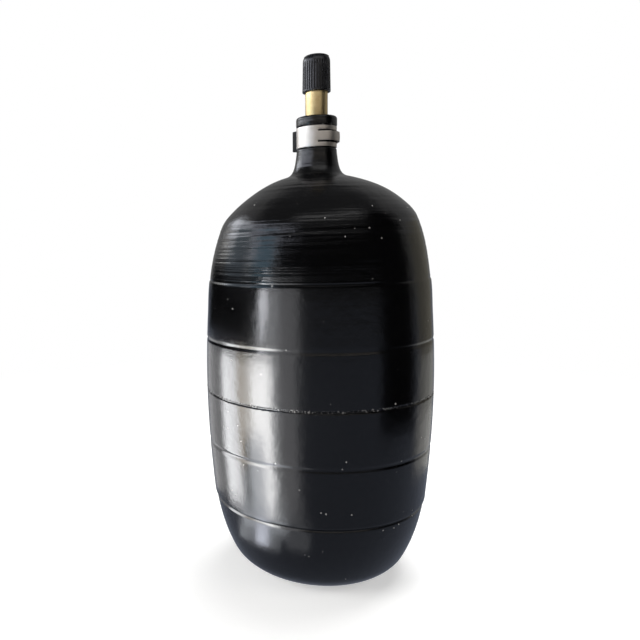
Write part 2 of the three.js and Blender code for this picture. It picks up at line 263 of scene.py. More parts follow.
class Graph:
    """A node tree with short calls for adding and wiring nodes."""

    def __init__(self, tree: bpy.types.NodeTree) -> None:
        """Takes over a tree and clears it."""
        self.tree = tree
        tree.nodes.clear()

    def node(self, kind: str, settings: Optional[dict] = None, **inputs: object) -> Node:
        """Adds a node.

        Args:
            kind: Its type, such as ShaderNodeBump.
            settings: Values of its own properties.
            **inputs: Values or sockets, by input name with _ for a space, or i0, i1 and so on.

        Returns:
            The new node.
        """
        new = self.tree.nodes.new(kind)
        for key, value in (settings or {}).items():
            setattr(new, key, value)
        for key, value in inputs.items():
            numbered = key[0] == "i" and key[1:].isdigit()
            socket = new.inputs[int(key[1:]) if numbered else key.replace("_", " ")]
            if isinstance(value, Socket):
                self.tree.links.new(value, socket)
            else:
                socket.default_value = value
        return new

    def place(self) -> Socket:
        """Gives the point's place on the object, in metres."""
        return self.node("ShaderNodeTexCoord").outputs["Object"]

    def split(self, vector: Socket) -> bpy.types.bpy_prop_collection:
        """Gives the three parts of a vector."""
        return self.node("ShaderNodeSeparateXYZ", Vector=vector).outputs

    def scaled(self, vector: Socket, scale: Sequence[float]) -> Socket:
        """Stretches a vector along each axis."""
        return self.node("ShaderNodeMapping", Vector=vector, Scale=tuple(scale)).outputs[0]

    def noise(self, vector: Socket, scale: float, detail: float = 2.0,
              roughness: float = 0.5) -> Socket:
        """Gives smooth noise, about 0.3 to 0.7."""
        node = self.node("ShaderNodeTexNoise", Vector=vector, Scale=scale, Detail=detail, Roughness=roughness)
        return node.outputs[0]

    def ramp(self, value: Socket, low: float, high: float, start: float = 0.0,
             end: float = 1.0) -> Socket:
        """Maps a value smoothly from low..high to start..end, held outside."""
        node = self.node("ShaderNodeMapRange", {"interpolation_type": "SMOOTHSTEP"}, Value=value,
                         From_Min=low, From_Max=high, To_Min=start, To_Max=end)
        return node.outputs[0]

    def sum(self, first: object, second: object, operation: str = "ADD") -> Socket:
        """Joins two values with one operation."""
        return self.node("ShaderNodeMath", {"operation": operation}, i0=first, i1=second).outputs[0]

    def times(self, first: object, second: object) -> Socket:
        """Multiplies two values."""
        return self.sum(first, second, "MULTIPLY")

    def blend(self, share: Socket, first: object, second: object) -> Socket:
        """Mixes two colours."""
        node = self.node("ShaderNodeMix", {"data_type": "RGBA"}, Factor=share)
        for socket, value in ((node.inputs[6], first), (node.inputs[7], second)):
            if isinstance(value, Socket):
                self.tree.links.new(value, socket)
            else:
                socket.default_value = (*value, 1.0)
        return node.outputs[2]

    def feed(self, shader: Node, **inputs: Socket) -> None:
        """Wires sockets into a shader, by input name with _ for a space."""
        for key, value in inputs.items():
            self.tree.links.new(value, shader.inputs[key.replace("_", " ")])

    def bump(self, height: Socket, distance: float,
             normal: Optional[Socket] = None) -> Socket:
        """Tilts the surface by a height field, distance metres deep."""
        node = self.node("ShaderNodeBump", Height=height, Distance=distance, Strength=1.0)
        if normal is not None:
            self.tree.links.new(normal, node.inputs["Normal"])
        return node.outputs[0]


@dataclass(frozen=True)
class Finish:
    """A surface finish that builds its own material.

    Attributes:
        slot: Material slot that it belongs to.
        colour: Main colour, linear.
        roughness: Middle value of its roughness.
        spread: How far the roughness strays from that.
    """

    slot: Slot
    colour: Colour
    roughness: float
    spread: float = 0.05

    def material(self) -> bpy.types.Material:
        """Builds the material, or gives the one built before."""
        known = bpy.data.materials.get("look_" + self.slot.value)
        if known:
            return known
        made = bpy.data.materials.new("look_" + self.slot.value)
        made.use_nodes = True
        graph = Graph(made.node_tree)
        shader = graph.node("ShaderNodeBsdfPrincipled")
        shader.inputs["Base Color"].default_value = (*self.colour, 1.0)
        self.dress(graph, shader)
        graph.node("ShaderNodeOutputMaterial", Surface=shader.outputs[0])
        return made

    def dress(self, graph: Graph, shader: Node) -> None:
        """Wires the finish into the shader; each kind of finish has its own."""
        self.vary(graph, shader, graph.noise(graph.place(), 700.0))

    def vary(self, graph: Graph, shader: Node, field: Socket) -> None:
        """Lets the roughness follow a noise field."""
        rough = graph.ramp(field, 0.3, 0.7, self.roughness - self.spread, self.roughness + self.spread)
        graph.feed(shader, Roughness=rough)


@dataclass(frozen=True)
class BagRubber(Finish):
    """Black moulded rubber: half gloss, wrap lines near the shoulder, pale specks of dust.

    Attributes:
        dust: Colour of the specks.
        wrap_low: Height at which the wrap lines begin, in metres.
        wrap_full: Height at which they are at their strongest.
        seam: Height of the seam, whose flash holds pale dust.
        seam_half: Half the height over which it does.
        line_depth: Depth of the fine wrap lines, in metres.
        coarse_depth: Depth of the broad ones.
        dent_depth: Depth of the handling dents.
        grain_depth: Depth of the moulding grain.
        dust_scale: Dust cells in a metre.
    """

    dust: Colour = (0.32, 0.31, 0.3)
    wrap_low: float = 0.102
    wrap_full: float = 0.115
    seam: float = 0.0665
    seam_half: float = 0.0006
    line_depth: float = 0.00022
    coarse_depth: float = 0.0002
    dent_depth: float = 0.0001
    grain_depth: float = 0.00004
    dust_scale: float = 300.0

    def dress(self, graph: Graph, shader: Node) -> None:
        """Wires wrap lines, moulding grain, handling haze, dust and the seam's pale flecks."""
        place = graph.place()
        height = graph.split(place)[2]
        wrap = graph.ramp(height, self.wrap_low, self.wrap_full, 0.12, 1.0)
        lines = graph.noise(graph.scaled(place, (9, 9, 620)), 1.0, 2.5, 0.6)
        coarse = graph.noise(graph.scaled(place, (5, 5, 210)), 1.0, 1.0)
        grain = graph.noise(place, 2600.0, 2.0)
        dents = graph.noise(place, 330.0, 3.0)
        normal = graph.bump(graph.times(wrap, lines), self.line_depth)
        normal = graph.bump(graph.times(wrap, coarse), self.coarse_depth, normal)
        normal = graph.bump(dents, self.dent_depth, normal)
        normal = graph.bump(grain, self.grain_depth, normal)
        haze = graph.noise(graph.scaled(place, (1, 1, 0.6)), 38.0, 4.0, 0.6)
        specks = graph.node("ShaderNodeTexVoronoi", Vector=place, Scale=self.dust_scale)
        rare = graph.node("ShaderNodeTexNoise", Vector=place, Scale=95.0).outputs[0]
        size = graph.ramp(rare, 0.42, 0.7, 0.01, 0.1)
        inside = graph.sum(specks.outputs["Distance"], size, "LESS_THAN")
        off = graph.sum(graph.sum(height, self.seam, "SUBTRACT"), 0.0, "ABSOLUTE")
        flecks = graph.ramp(graph.noise(graph.scaled(place, (1, 1, 0.5)), 1500.0, 2.0, 0.7), 0.56, 0.62)
        flecks = graph.times(flecks, graph.ramp(graph.noise(place, 120.0), 0.42, 0.58, 0.15, 1.0))
        flecks = graph.times(flecks, graph.ramp(off, self.seam_half / 2, self.seam_half, 1.0, 0.0))
        inside = graph.sum(inside, flecks, "MAXIMUM")
        rough = graph.ramp(haze, 0.3, 0.75, self.roughness - self.spread, self.roughness + self.spread)
        rough = graph.sum(rough, graph.times(inside, 0.4))
        colour = graph.blend(inside, self.colour, self.dust)
        graph.feed(shader, Base_Color=colour, Roughness=rough, Normal=normal)
        shader.inputs["IOR"].default_value = 1.52


@dataclass(frozen=True)
class StripMetal(Finish):
    """Rolled or drawn metal with fine lines along one direction.

    Attributes:
        grain: Scale of the lines along X, Y and Z, per metre.
        depth: Depth of the lines, in metres.
        stain: Colour of faint tarnish.
        tarnish: How much of it there is.
    """

    grain: Colour = (30.0, 30.0, 4200.0)
    depth: float = 0.000004
    stain: Colour = (0.42, 0.36, 0.28)
    tarnish: float = 0.25

    def dress(self, graph: Graph, shader: Node) -> None:
        """Wires the lines, a cloudy tarnish and tiny pits."""
        place = graph.place()
        lines = graph.noise(graph.scaled(place, self.grain), 1.0, 3.0, 0.6)
        cloud = graph.noise(place, 260.0, 4.0, 0.65)
        pits = graph.noise(place, 3400.0, 1.0)
        share = graph.ramp(cloud, 0.42, 0.75, 0.0, self.tarnish)
        self.vary(graph, shader, graph.sum(graph.times(lines, 0.6), graph.times(cloud, 0.4)))
        normal = graph.bump(lines, self.depth)
        normal = graph.bump(pits, self.depth, normal)
        graph.feed(shader, Base_Color=graph.blend(share, self.colour, self.stain), Normal=normal)
        shader.inputs["Metallic"].default_value = 1.0


@dataclass(frozen=True)
class ClampSteel(StripMetal):
    """Rolled steel whose crimped ear at the back left is painted near black, as painted shade.

    Attributes:
        painted_ear_shade: Colour of the painted shade on the ear.
        band: Radius beyond which the ear gets the painted shade, in metres.
    """

    painted_ear_shade: Colour = (0.012, 0.012, 0.012)
    band: float = 0.0073

    def dress(self, graph: Graph, shader: Node) -> None:
        """Wires the rolled steel, then paints near-black shade on what stands out at the back left."""
        super().dress(graph, shader)
        steel = shader.inputs["Base Color"].links[0].from_socket
        parts = graph.split(graph.place())
        squares = graph.sum(graph.times(parts[0], parts[0]), graph.times(parts[1], parts[1]))
        reach = graph.ramp(graph.sum(squares, 0.5, "POWER"), self.band, self.band + 0.0005)
        behind = graph.ramp(parts[1], 0.0, 0.002)
        # painted shade: the ear, beyond the band radius and behind the axis, is coloured near black to stand
        # for shade
        black = graph.blend(graph.times(reach, behind), steel, self.painted_ear_shade)
        graph.feed(shader, Base_Color=black)


@dataclass(frozen=True)
class Plastic(Finish):
    """Moulded plastic or soft rubber with a fine grain.

    Attributes:
        grain: Depth of the grain, in metres.
        scuff: Colour of the light rubbing on it.
    """

    grain: float = 0.000006
    scuff: Colour = (0.08, 0.08, 0.085)

    def dress(self, graph: Graph, shader: Node) -> None:
        """Wires the grain and a few pale scuffs."""
        place = graph.place()
        grain = graph.noise(place, 3000.0, 2.0)
        rub = graph.noise(graph.scaled(place, (1, 1, 0.35)), 900.0, 4.0, 0.7)
        share = graph.ramp(rub, 0.62, 0.75, 0.0, 0.5)
        self.vary(graph, shader, rub)
        graph.feed(shader, Base_Color=graph.blend(share, self.colour, self.scuff),
                   Normal=graph.bump(grain, self.grain))


RUBBER = BagRubber(Slot.RUBBER, (0.0019, 0.0019, 0.0022), 0.2, 0.05)
STEEL = ClampSteel(Slot.STEEL, (0.7, 0.655, 0.6), 0.47, 0.06)
BRASS = StripMetal(Slot.BRASS, (0.83, 0.65, 0.34), 0.42, 0.06, grain=(2600.0, 2600.0, 30.0),
                   stain=(0.5, 0.33, 0.13), tarnish=0.45)
SPRING = StripMetal(Slot.SPRING, (0.5, 0.5, 0.49), 0.3, 0.05)
CAP = Plastic(Slot.CAP, (0.004, 0.0042, 0.006), 0.3, 0.06)
SEAL = Plastic(Slot.SEAL, (0.02, 0.02, 0.02), 0.6, 0.05, scuff=(0.05, 0.05, 0.05))
GASKET = Plastic(Slot.GASKET, (0.48, 0.07, 0.045), 0.5, 0.05, scuff=(0.5, 0.12, 0.09))


class Piece:
    """A part of the plug that scene.py makes: it builds a mesh and dresses it."""

    name: str
    body: Body
    nodes: tuple[str, ...]
    finish: Finish

    def build(self) -> bpy.types.Object:
        """Makes the mesh; each piece has its own."""
        raise NotImplementedError

    def dress(self, piece: bpy.types.Object) -> None:
        """Gives the mesh its finish, its body and the CAD nodes it stands for."""
        piece.data.materials.clear()
        piece.data.materials.append(self.finish.material())
        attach(piece, self.body.value)
        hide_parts(*self.nodes)

    def make(self) -> bpy.types.Object:
        """Builds and dresses the piece, and reports it."""
        piece = self.build()
        self.dress(piece)
        LOG.info("%s: %d faces", self.name, len(piece.data.polygons))
        return piece


@dataclass(frozen=True)
class Ring:
    """A ring pressed into the bag's side, in mm.

    Attributes:
        height: Height of its middle.
        width: Width of its groove.
        depth: Depth of its groove.
        step: How much further the side stands out below it than above.
        jagged: How much the depth changes round the bag, from 0 to 1.
    """

    height: float
    width: float
    depth: float
    step: float = 0.0
    jagged: float = 0.0

    def shift(self, angle: Array, height: Array, rough: Waviness) -> Array:
        """Gives the radial shift at each angle and height, in mm."""
        middle = self.height + 0.12 * self.jagged * rough(angle, np.zeros_like(height))
        away = (height - middle) / (self.width / 2)
        groove = np.exp(-1.6 * np.abs(away) ** 2.6)
        depth = self.depth * (1 + self.jagged * 0.5 * rough(angle, np.full_like(height, 9.0)))
        below = smooth(height, self.height - 12.0, self.height - 2.0)
        ledge = self.step * below * (1 - smooth(height, middle - 0.35, middle + 0.35))
        return ledge - depth * groove


@dataclass(frozen=True)
class Wraps:
    """Fine lines that the curing tape has left on the upper side, in mm.

    Attributes:
        low: Height of the lowest line.
        pitch: Mean distance between two lines.
        count: Number of lines.
        depth: Depth of the deepest line.
        width: Half width of a line.
        bank: How far a strip between two lines leans out at its upper edge.
        fade: Height over which the leaning begins.
    """

    low: float = 107.2
    pitch: float = 1.45
    count: int = 15
    depth: float = 0.07
    width: float = 0.2
    bank: float = 0.05
    fade: float = 0.15

    def shift(self, angle: Array, height: Array) -> Array:
        """Gives the radial shift at each angle and height, in mm."""
        draw = np.random.default_rng(21)
        total = np.zeros(np.broadcast(angle, height).shape)
        for i in range(self.count):
            phase, sway, share = draw.uniform(0, 2 * math.pi), draw.uniform(0.1, 0.35), draw.uniform(0.3, 1.0)
            centre = self.low + (i + draw.uniform(-0.3, 0.3)) * self.pitch + sway * np.sin(angle + phase)
            away = height - centre
            fade = 0.6 + 0.4 * np.sin(2 * angle + 3 * phase)
            strip = smooth(away, 0.0, self.fade) * (1 - smooth(away, self.pitch - 2 * self.fade, self.pitch))
            line = np.exp(-((away / self.width) ** 2))
            total += share * fade * (self.bank * strip * away / self.pitch - self.depth * line)
        return total


@dataclass(frozen=True)
class Flash:
    """Tiny nubs of moulding flash along the seam, in mm.

    Attributes:
        count: Number of nubs.
        below: Share of them that lies below the seam.
        away: Least and most distance from the seam.
        long: Least and most half length.
        deep: Least and most half depth.
        tall: Least and most half height.
        sides: Columns of a nub's shell.
        rows: Rows of it.
    """

    count: int = 120
    below: float = 0.3
    away: tuple[float, float] = (0.45, 0.75)
    long: tuple[float, float] = (0.12, 0.45)
    deep: tuple[float, float] = (0.08, 0.2)
    tall: tuple[float, float] = (0.1, 0.2)
    sides: int = 8
    rows: int = 6

    def build(self, draft: Draft, seam: float, side: Callable[[Array], Array]) -> None:
        """Adds the nubs.

        Args:
            draft: The piece that gets them.
            seam: Height of the seam.
            side: Gives the radius of the side at a height.
        """
        draw = np.random.default_rng(3)
        turn = np.linspace(0, 2 * math.pi, self.sides, endpoint=False)
        rise = np.linspace(-math.pi / 2, math.pi / 2, self.rows)[:, None]
        shell = np.stack(np.broadcast_arrays(np.cos(rise) * np.cos(turn), np.cos(rise) * np.sin(turn),
                                             np.sin(rise)), axis=-1)
        for _ in range(self.count):
            angle = draw.uniform(0, 2 * math.pi)
            height = seam + draw.choice([-1, 1], p=[self.below, 1 - self.below]) * draw.uniform(*self.away)
            radius = float(side(np.array(height)))
            size = np.array([draw.uniform(*span) for span in (self.long, self.deep, self.tall)])
            out = np.array([math.sin(angle), -math.cos(angle), 0.0])
            along = np.array([math.cos(angle), math.sin(angle), 0.0])
            axes = np.stack([along, out, np.array([0.0, 0.0, 1.0])])
            draft.grid(out * (radius + 0.02) + np.array([0.0, 0.0, height]) + (shell * size) @ axes)


@dataclass
class BagSize:
    """Sizes of the bag's outer and inner form, in mm."""

    radius: float = 40.25
    middle: float = 70.0
    foot_bow: float = 6.26
    foot_tuck: float = 7.41
    foot_corner: float = 7.4
    crown_bow: float = 6.67
    crown_tuck: float = 12.56
    crown: float = 142.3
    ball: float = 43.5
    shoulder_round: float = 1.7
    wall: float = 5.5
    floor: float = 6.5
    floor_corner: float = 9.0
    ledge_height: float = 27.0
    ledge_rise: float = 0.35
    ledge_fade: float = 14.0
    neck: float = 6.95
    neck_length: float = 8.55
    flare: float = 11.2
    flare_height: float = 7.2
    flare_waist: float = 0.6
    flare_toe: float = 1.1
    band_width: float = 7.0
    seat: float = 6.05
    lip: float = 7.05
    lip_height: float = 3.65
    lip_round: float = 1.1
    bore: float = 4.15
    segments: int = 252
    lean: float = 0.034
    wraps: Wraps = Wraps()
    flash: Flash = Flash()
    rings: tuple[Ring, ...] = (
        Ring(105.4, 1.1, 0.12, step=0.22),
        Ring(84.9, 1.4, 0.22),
        Ring(66.2, 0.9, 0.4, jagged=1.0),
        Ring(47.5, 1.7, 0.28),
        Ring(27.0, 1.3, 0.42),
    )


class Bag(Piece):
    """The rubber bag: ringed side, foot, shoulder, dome, neck, lip and air chamber."""

    name = "bag"
    body = Body.PLUG
    nodes = ("bladder",)
    finish = RUBBER

    def __init__(self, size: BagSize) -> None:
        """Takes its sizes and works out where the side meets the dome."""
        self.size = size
        self.centre = size.crown - size.ball
        self.shoulder = self.meeting(0.0)
        self.uneven = Waviness(5, 9, 4, 45.0)
        self.nicks = Waviness(11, 14, 90, 20.0)

    def side(self, height: Array) -> Array:
        """Gives the radius of the side, without its rings."""
        s = self.size
        low = height < s.middle
        reach = np.where(low, s.middle, s.crown - s.middle)
        share = np.abs(height - s.middle) / reach
        bow = np.where(low, s.foot_bow, s.crown_bow) * share**2
        tuck = np.where(low, s.foot_tuck, s.crown_tuck) * share**6
        fade = 1 - (height - s.ledge_height) / s.ledge_fade
        start = smooth(height, s.ledge_height - 0.2, s.ledge_height + 0.4)
        swell = s.ledge_rise * start * np.clip(fade, 0, 1) ** 2
        return s.radius - bow - tuck + swell

    def dome(self, radius: Array, inset: float) -> Array:
        """Gives the height of the dome, drawn in by an inset."""
        return self.centre + np.sqrt((self.size.ball - inset) ** 2 - radius**2)

    def meeting(self, inset: float) -> float:
        """Finds the height at which side and dome meet."""
        low, high = self.size.middle, self.size.crown - inset
        for _ in range(40):
            height = (low + high) / 2
            ball = math.sqrt((self.size.ball - inset) ** 2 - (height - self.centre) ** 2)
            if ball > float(self.side(np.array(height))) - inset:
                low = height
            else:
                high = height
        return low

    def foot(self) -> Outline:
        """Gives the outline of the flat foot and its rounded edge."""
        s = self.size
        angle = np.linspace(0, math.pi / 2, 15)
        height = s.foot_corner * (1 - np.cos(angle))
        radius = self.side(height) - s.foot_corner * (1 - np.sin(angle))
        inner = np.linspace(0.0, radius[0], 9)[:-1]
        flat = np.stack([inner, np.zeros_like(inner)], axis=1)
        return np.concatenate([flat, np.stack([radius, height], axis=1)])

    def wall_outline(self) -> Outline:
        """Gives the outline of the side, with rows close together at each ring."""
        s = self.size
        fine = [(ring.height, max(1.2, ring.width), 0.16) for ring in s.rings]
        wrapped = s.wraps.pitch * s.wraps.count / 2
        room = self.shoulder - s.wraps.low - wrapped - 2.2
        fine.append((s.wraps.low + wrapped - 0.2, min(wrapped, room), 0.24))
        rows = heights(s.foot_corner, self.shoulder - s.shoulder_round, 1.6, fine)
        return np.stack([self.side(rows), rows], axis=1)[1:-1]

    def top_outline(self) -> Outline:
        """Gives the outline from the shoulder over the dome and up the neck's flare."""
        s = self.size
        low = self.shoulder - s.shoulder_round
        corner = float(self.side(np.array(self.shoulder)))
        start = corner - s.shoulder_round
        bend = bezier([(float(self.side(np.array(low))), low), (corner, self.shoulder),
                       (start, float(self.dome(np.array(start), 0.0)))], 12)
        radius = np.linspace(start, s.flare, 26)[1:-1]
        cap = np.stack([radius, self.dome(radius, 0.0)], axis=1)
        toe = s.neck + s.flare_toe
        flare = bezier([(s.flare, float(self.dome(np.array(s.flare), 0.0))),
                        (toe, float(self.dome(np.array(toe), 0.0))),
                        (s.neck + s.flare_waist, s.crown + s.flare_height / 4),
                        (s.neck, s.crown + s.flare_height)], 20)
        return np.concatenate([bend, cap, flare])

    def neck_outline(self) -> Outline:
        """Gives the outline of the neck, the band's seat, the lip and the bore."""
        s = self.size
        low = s.crown + s.neck_length
        top = low + s.band_width
        lip_top = top + s.lip_height
        gap = 0.3
        under = bezier([(s.neck, low - 1.2), (s.neck + 0.05, low - gap), (s.neck - 0.5, low - gap)], 5)
        seat = np.array([(s.seat, low - gap), (s.seat, top + 0.15)])
        foot = bezier([(s.lip - 0.6, top + 0.15), (s.lip, top + 0.15), (s.lip, top + 0.7)], 4)
        crown = bezier([(s.lip, lip_top - s.lip_round), (s.lip, lip_top),
                        (s.lip - s.lip_round, lip_top - 0.05)], 9)
        mouth = bezier([(s.bore + 1.3, lip_top), (s.bore + 0.2, lip_top), (s.bore - 0.22, lip_top - 0.6)], 5)
        return np.concatenate([under, seat, foot, crown, mouth])

    def chamber_outline(self) -> Outline:
        """Gives the outline of the bore and the air chamber, from the top down."""
        s = self.size
        crown = float(self.dome(np.array(s.bore), s.wall))
        inner = self.meeting(s.wall)
        corner = float(self.side(np.array(inner))) - s.wall
        radius = np.linspace(s.bore, corner, 14)
        cap = np.stack([radius, self.dome(radius, s.wall)], axis=1)
        rows = np.linspace(inner, s.floor + s.floor_corner, 26)
        side = np.stack([self.side(rows) - s.wall, rows], axis=1)[1:-1]
        edge = float(self.side(np.array(s.floor))) - s.wall
        low = s.floor + s.floor_corner
        bend = bezier([(float(self.side(np.array(low))) - s.wall, low), (edge, s.floor),
                       (edge - s.floor_corner, s.floor)], 8)
        return np.concatenate([[(s.bore, crown + 6.0)], cap, side, bend, [(0.0, s.floor)]])

    def shift(self, angle: Array, radius: Array, height: Array) -> Array:
        """Gives the radial shift by rings and unevenness on the outer side, in mm."""
        outer = smooth(radius, 24.0, 33.0) * smooth(height, 4.0, 14.0)
        under_side = radius < self.side(height) - self.size.wall / 2
        under_dome = height < self.dome(np.minimum(radius, self.size.radius), self.size.wall / 2)
        outer = np.where(under_side & under_dome, 0.0, outer)
        total = 0.07 * outer * self.uneven(angle, height)
        for ring in self.size.rings:
            total = total + outer * ring.shift(angle, height, self.nicks)
        total = total + outer * self.size.wraps.shift(angle, height)
        return total

    def lift(self, angle: Array, radius: Array, height: Array) -> Array:
        """Gives the upward shift of the slightly skewed shoulder, in mm."""
        zone = smooth(height, 106.0, 122.0) * smooth(radius, 10.0, 26.0)
        return self.size.lean * radius * np.sin(angle) * zone

    def build(self) -> bpy.types.Object:
        """Makes the bag."""
        outline = np.concatenate([self.foot(), self.wall_outline(), self.top_outline(), self.neck_outline(),
                                  self.chamber_outline()])
        draft = Draft()
        draft.lathe(outline, self.size.segments, shift=self.shift, lift=self.lift)
        seam = next(ring for ring in self.size.rings if ring.jagged)
        self.size.flash.build(draft, seam.height, self.side)
        return draft.build(self.name, 50.0)


@dataclass
class ClampSize:
    """Sizes of the ear clamp, in mm and degrees."""

    low: float = 150.85
    width: float = 7.0
    thickness: float = 0.6
    radius: float = 6.95
    ear_reach: float = 3.9
    ear_width: float = 5.4
    ear_round: float = 1.3
    ear_dimple: float = 0.6
    ear_turn: float = -140.5
    root_round: float = 0.8
    tongue_width: float = 3.1
    tongue_rise: float = 1.05
    tongue_start: float = 4.0
    tongue_ramp: float = 50.0
    tongue_end: float = 112.0
    slit_width: float = 0.55
    slit_end: float = 84.0
    edge: float = 0.09


class EarClamp(Piece):
    """The stepless ear clamp: one formed strip with a crimped ear and a raised channel."""

    name = "ear_clamp"
    body = Body.PLUG
    nodes = ("clamp_band",)
    finish = STEEL

    def __init__(self, size: ClampSize) -> None:
        """Takes its sizes."""
        self.size = size

    def path(self) -> Array:
        """Gives the strip's outside in plan, once round, with the ear at its place."""
        s = self.size
        half = s.ear_width / 2
        tip = s.radius + s.ear_reach
        spread = math.asin((half + s.root_round) / (s.radius + s.root_round))
        root = (s.radius + s.root_round) * math.cos(spread)
        touch = spread
        circle = np.linspace(touch, 2 * math.pi - touch, 220)
        ring = s.radius * np.stack([np.cos(circle), np.sin(circle)], axis=1)
        corner = np.array([root, -(half + s.root_round)])
        turn = np.linspace(math.pi - spread, math.pi / 2, 7)
        fillet = corner + s.root_round * np.stack([np.cos(turn), np.sin(turn)], axis=1)
        leg = np.linspace([root, -half], [tip - s.ear_round, -half], 6)[1:-1]
        bend = bezier([(tip - s.ear_round, -half), (tip, -half), (tip, -half + s.ear_round)], 7)
        back = bezier([(tip, -half + s.ear_round), (tip - s.ear_dimple, 0.0), (tip, half - s.ear_round)], 10)
        upper = np.concatenate([fillet, leg, bend])
        lower = upper[::-1] * np.array([1.0, -1.0])
        plan = np.concatenate([ring[:-1], upper[1:], back[1:-1], lower[:-1]])
        angle = math.radians(s.ear_turn - 90)
        turned = np.array([[math.cos(angle), math.sin(angle)], [-math.sin(angle), math.cos(angle)]])
        return plan @ turned

    def build(self) -> bpy.types.Object:
        """Makes the strip with its channel and slits, then gives it thickness and soft edges."""
        s = self.size
        plan = self.path()
        ahead = np.roll(plan, -1, axis=0) - np.roll(plan, 1, axis=0)
        normal = np.stack([ahead[:, 1], -ahead[:, 0]], axis=1)
        normal /= np.linalg.norm(normal, axis=1)[:, None]
        angle = np.degrees(np.arctan2(plan[:, 0], -plan[:, 1]))
        half = s.width / 2
        slit_in = s.tongue_width / 2
        slit_out = slit_in + s.slit_width
        across = np.array([-half, -half + 0.3, -slit_out - 0.5, -slit_out, -slit_in, -slit_in + 0.4, 0.0,
                           slit_in - 0.4, slit_in, slit_out, slit_out + 0.5, half - 0.3, half])
        along = smooth(angle, s.tongue_start, s.tongue_start + s.tongue_ramp)
        along = along * (1 - smooth(angle, s.tongue_end, s.tongue_end + 9.0))
        raised = np.where(np.abs(across) <= slit_in + 1e-6, 1.0, 0.0)[:, None]
        crown = 1 - 0.08 * (across / slit_in) ** 2
        lift = s.tongue_rise * along[None, :] * raised * np.clip(crown, 0, 1)[:, None]
        flat = plan[None, :, :] + lift[..., None] * normal[None, :, :]
        level = np.repeat((s.low + half + across)[:, None], len(plan), axis=1)
        points = np.concatenate([flat, level[..., None]], axis=-1)
        middle = (angle + np.roll(angle, -1)) / 2
        open_along = (middle > s.tongue_start) & (middle < s.slit_end)
        centre = (np.abs(across[1:]) + np.abs(across[:-1])) / 2
        open_across = np.abs(centre - (slit_in + slit_out) / 2) < 0.05
        keep = ~(open_across[:, None] & open_along[None, :])
        draft = Draft()
        draft.grid(points, keep=keep)
        piece = draft.build(self.name, 40.0)
        sheet = piece.modifiers.new("sheet", "SOLIDIFY")
        sheet.thickness = s.thickness * MM
        sheet.offset = -1.0
        sheet.use_even_offset = False
        edges = piece.modifiers.new("edges", "BEVEL")
        edges.width = s.edge * MM
        edges.segments = 2
        edges.limit_method = "ANGLE"
        edges.angle_limit = math.radians(50)
        return piece


@dataclass
class ThreadSize:
    """Sizes of the valve's thread, in mm."""

    pitch: float = 25.4 / 32
    depth: float = 0.34

    def shift(self, angle: Array, height: Array, low: float, high: float) -> Array:
        """Gives the thread's cut below its crest, fading out at both ends."""
        turn = (height - angle / (2 * math.pi) * self.pitch) / self.pitch
        wave = np.abs((turn % 1.0) * 2 - 1)
        cut = np.clip(1.25 * wave - 0.12, 0, 1)
        fade = smooth(height, low - 0.5, low + 0.6) * (1 - smooth(height, high - 0.1, high + 0.3))
        return -self.depth * cut * fade


@dataclass
class StemSize:
    """Sizes of the valve stem, in mm."""

    radius: float = 3.85
    chamfer: float = 0.45
    bottom: float = 140.35
    top: float = 180.3
    thread_low: float = 171.0
    bore: float = 2.7
    seat_high: float = 174.35
    seat_low: float = 171.75
    seat: float = 2.3
    duct: float = 2.0
    lead: float = 1.4
    barb_pitch: float = 2.6
    barb_depth: float = 0.45
    barbs: int = 4
    segments: int = 108


class ValveStem(Piece):
    """The brass stem: barbed tail, drawn shank, threaded end and bore."""

    name = "valve_stem_brass"
    body = Body.PLUG
    nodes = ("valve_stem",)
    finish = BRASS

    def __init__(self, size: StemSize, thread: ThreadSize) -> None:
        """Takes its sizes and its thread."""
        self.size = size
        self.thread = thread

    def outline(self) -> Outline:
        """Gives the outline from the tail's inner edge up the outside and down the bore."""
        s = self.size
        root = s.radius - s.barb_depth
        points = [(s.duct, s.bottom), (root - s.chamfer, s.bottom), (root, s.bottom + s.lead)]
        for i in range(s.barbs):
            crest = s.bottom + s.lead + (i + 1) * s.barb_pitch
            points += [(s.radius, crest - 0.15), (s.radius, crest), (root, crest)]
        shank = s.bottom + s.lead + s.barbs * s.barb_pitch + 2 * s.barb_depth
        points += [(s.radius, shank), (s.radius, s.thread_low - 0.8)]
        rows = np.arange(s.thread_low - 0.7, s.top - s.chamfer, 0.1)
        threaded = np.stack([np.full_like(rows, s.radius), rows], axis=1)
        end = [(s.radius - 0.1, s.top - s.chamfer), (s.radius - s.chamfer, s.top - 0.06),
               (s.radius - s.chamfer - 0.08, s.top), (s.bore + 0.2, s.top), (s.bore, s.top - 0.2),
               (s.bore, s.seat_high), (s.seat, s.seat_low), (s.duct, s.seat_low), (s.duct, s.bottom)]
        return np.concatenate([points, threaded, end])

    def build(self) -> bpy.types.Object:
        """Makes the stem."""
        s = self.size
        draft = Draft()
        draft.lathe(self.outline(), s.segments, shift=lambda angle, radius, height: np.where(
            radius > s.radius - 0.05, self.thread.shift(angle, height, s.thread_low, s.top - s.chamfer), 0.0))
        return draft.build(self.name, 30.0)


@dataclass
class CapSize:
    """Sizes of the screw cap, in mm."""

    radius: float = 4.85
    mouth: float = 169.9
    length: float = 12.9
    roof: float = 1.2
    corner: float = 2.3
    crown: float = 0.5
    rim: float = 0.7
    flutes: int = 32
    flute_depth: float = 0.3
    flute_drop: float = 3.2
    bore: float = 4.15
    chamfer: float = 0.45
    per_flute: int = 10
    taper: float = 0.24
    fillet: float = 0.4
    gate: float = 0.9


